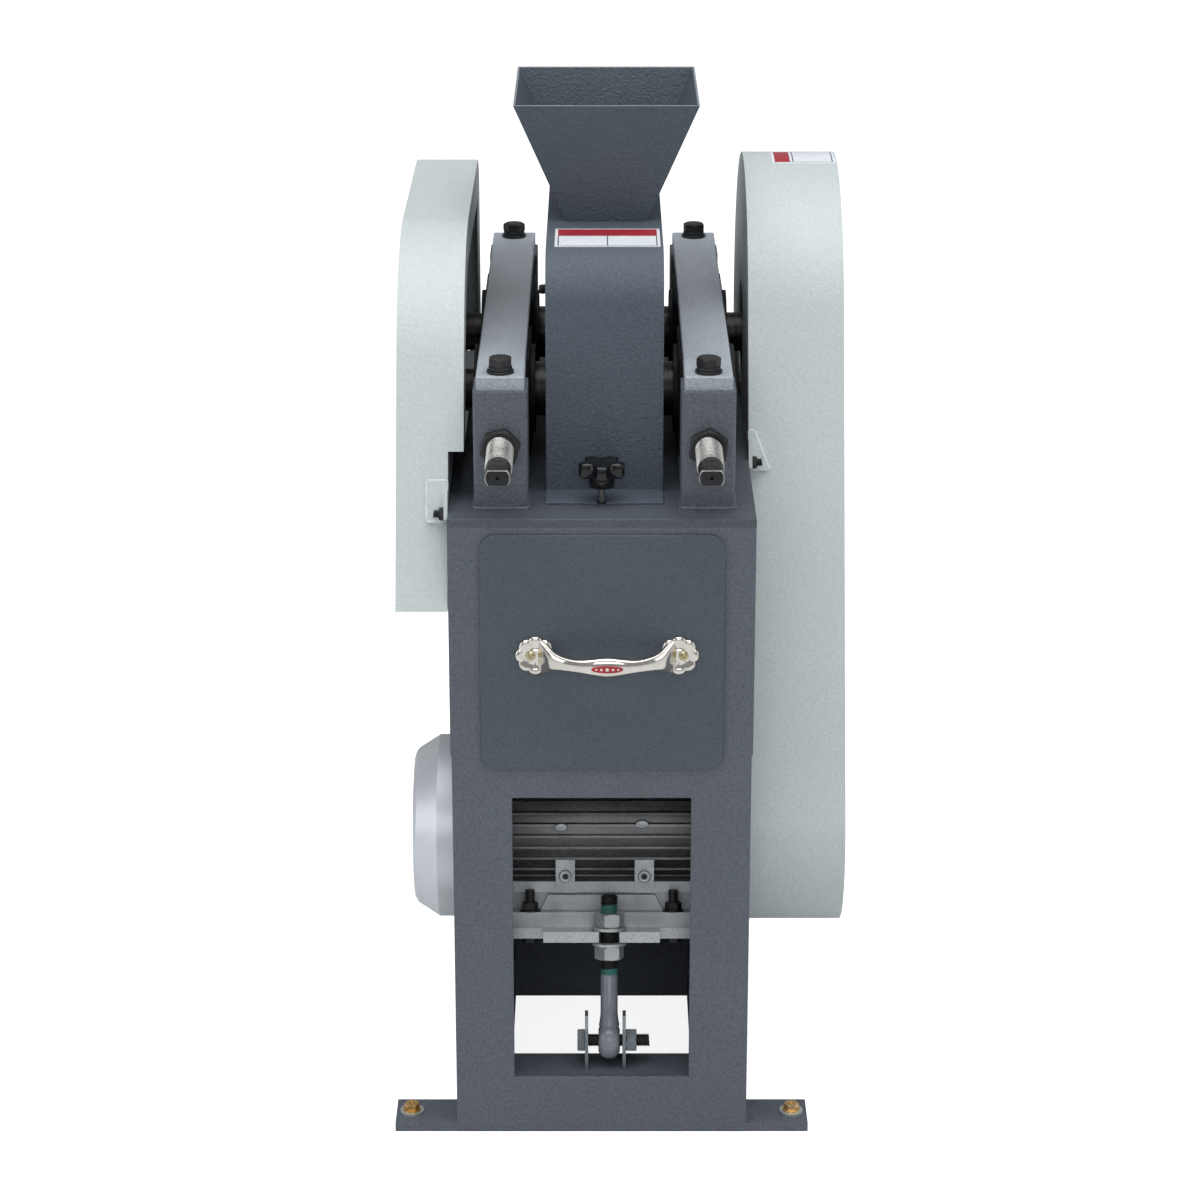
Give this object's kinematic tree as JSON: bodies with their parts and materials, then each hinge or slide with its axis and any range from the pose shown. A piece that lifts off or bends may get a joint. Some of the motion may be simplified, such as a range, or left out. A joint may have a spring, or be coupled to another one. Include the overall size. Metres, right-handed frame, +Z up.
{
  "type": "roller crusher",
  "caption": "Bench-height roller crusher: geared crushing rollers under a hopper, driven by a belt from a motor in the cabinet, with a catch drawer.",
  "frame": {"origin": "on the floor under the centre of the cabinet footprint", "axes": "+X to the belt guard side, +Y to the back, +Z up"},
  "size_m": [0.417, 0.685, 0.9255],
  "materials": {
    "dark_paint": "hammered satin paint",
    "guard_paint": "hammered satin paint",
    "drawer_paint": "hammered satin paint",
    "bright_steel": "turned",
    "black_steel": "black oxide",
    "zinc_steel": "zinc plated",
    "gold_zinc": "yellow zinc plated",
    "cast_iron": "dark cast",
    "roller_iron": "ground",
    "aluminium": "cast",
    "fan_cover_metal": "spun satin",
    "chrome": "polished",
    "red_enamel": "gloss",
    "brass": "plated",
    "rubber": "matt",
    "black_plastic": "gloss"
  },
  "bodies": {
    "cabinet": {"base_rails": "dark_paint", "foot_tabs": "dark_paint", "tab_bolts": "gold_zinc", "tab_washers": "zinc_steel", "lower_front_plate": "dark_paint", "rear_plates": "dark_paint", "left_side_plate": "dark_paint", "right_side_plate": "dark_paint", "upper_side_plates": "dark_paint", "upper_front_plate": "dark_paint", "deck_plate": "dark_paint", "drawer_shelf": "dark_paint", "hinge_beam": "dark_paint", "hinge_pin": "bright_steel", "bearing_stands": "dark_paint", "clamp_bars": "dark_paint", "clamp_bolts": "black_steel", "rear_blocks": "cast_iron", "rear_bearings": "cast_iron", "rear_screws": "bright_steel", "lock_nuts": "black_steel", "drive_belts": "rubber", "belt_guard": "guard_paint", "belt_guard_back": "guard_paint", "gear_guard": "guard_paint", "guard_lugs": "guard_paint", "guard_bolts": "black_steel", "eye_bolt": "zinc_steel", "sill_ears": "zinc_steel", "clevis_bolt": "zinc_steel", "casing": "drawer_paint", "hopper": "drawer_paint", "casing_screws": "bright_steel"},
    "drawer": {"drawer_front": "drawer_paint", "drawer_box": "drawer_paint", "drawer_handle": "chrome", "handle_oval": "red_enamel", "handle_screws": "brass"},
    "gap_carriage": {"front_blocks": "cast_iron", "front_bearings": "cast_iron", "front_screws": "bright_steel"},
    "front_roll": {"front_roller": "roller_iron", "front_shaft": "bright_steel", "front_gear": "cast_iron"},
    "rear_roll": {"rear_roller": "roller_iron", "rear_shaft": "bright_steel", "rear_gear": "cast_iron", "big_pulley": "cast_iron"},
    "motor_mount": {"motor_plate": "zinc_steel", "motor_feet": "aluminium", "motor_bolts": "black_steel", "motor_housing": "aluminium", "fan_cover": "fan_cover_metal", "terminal_box": "aluminium"},
    "rotor": {"rotor_shaft": "bright_steel", "fan": "black_plastic", "motor_pulley": "cast_iron"},
    "tension": {"tension_nuts": "zinc_steel"},
    "casing_knob": {"knob": "black_plastic"}
  },
  "joints": [
    {"name": "drawer_slide", "type": "slide", "parent": "cabinet", "child": "drawer", "axis": [0, -1, 0], "range_m": [0, 0.3]},
    {"name": "gap_slide", "type": "slide", "parent": "cabinet", "child": "gap_carriage", "axis": [0, -1, 0], "range_m": [0, 0.008]},
    {"name": "rear_spin", "type": "hinge", "parent": "cabinet", "child": "rear_roll", "pos_m": [0, 0.114, 0.661], "axis": [1, 0, 0], "continuous": true},
    {"name": "front_spin", "type": "hinge", "parent": "gap_carriage", "child": "front_roll", "pos_m": [0, -0.088, 0.661], "axis": [1, 0, 0], "continuous": true},
    {"name": "motor_tilt", "type": "hinge", "parent": "cabinet", "child": "motor_mount", "pos_m": [0, -0.02382, 0.11813], "axis": [1, 0, 0], "range_deg": [-2, 2], "deforming": ["drive_belts"]},
    {"name": "rotor_spin", "type": "hinge", "parent": "motor_mount", "child": "rotor", "pos_m": [0, -0.1109, 0.2336], "axis": [1, 0, 0], "continuous": true},
    {"name": "tension_slide", "type": "slide", "parent": "cabinet", "child": "tension", "axis": [0, 0.2588, 0.9659], "range_m": [-0.0078, 0.0078]},
    {"name": "knob_turn", "type": "hinge", "parent": "cabinet", "child": "casing_knob", "pos_m": [0, -0.244, 0.629], "axis": [0, 0, 1], "continuous": true}
  ],
  "couplings": [
    {"joint": "front_spin", "follows": "rear_spin", "ratio": -1},
    {"joint": "rotor_spin", "follows": "rear_spin", "ratio": 3},
    {"joint": "tension_slide", "follows": "motor_tilt", "m_per_rad": -0.219}
  ]
}
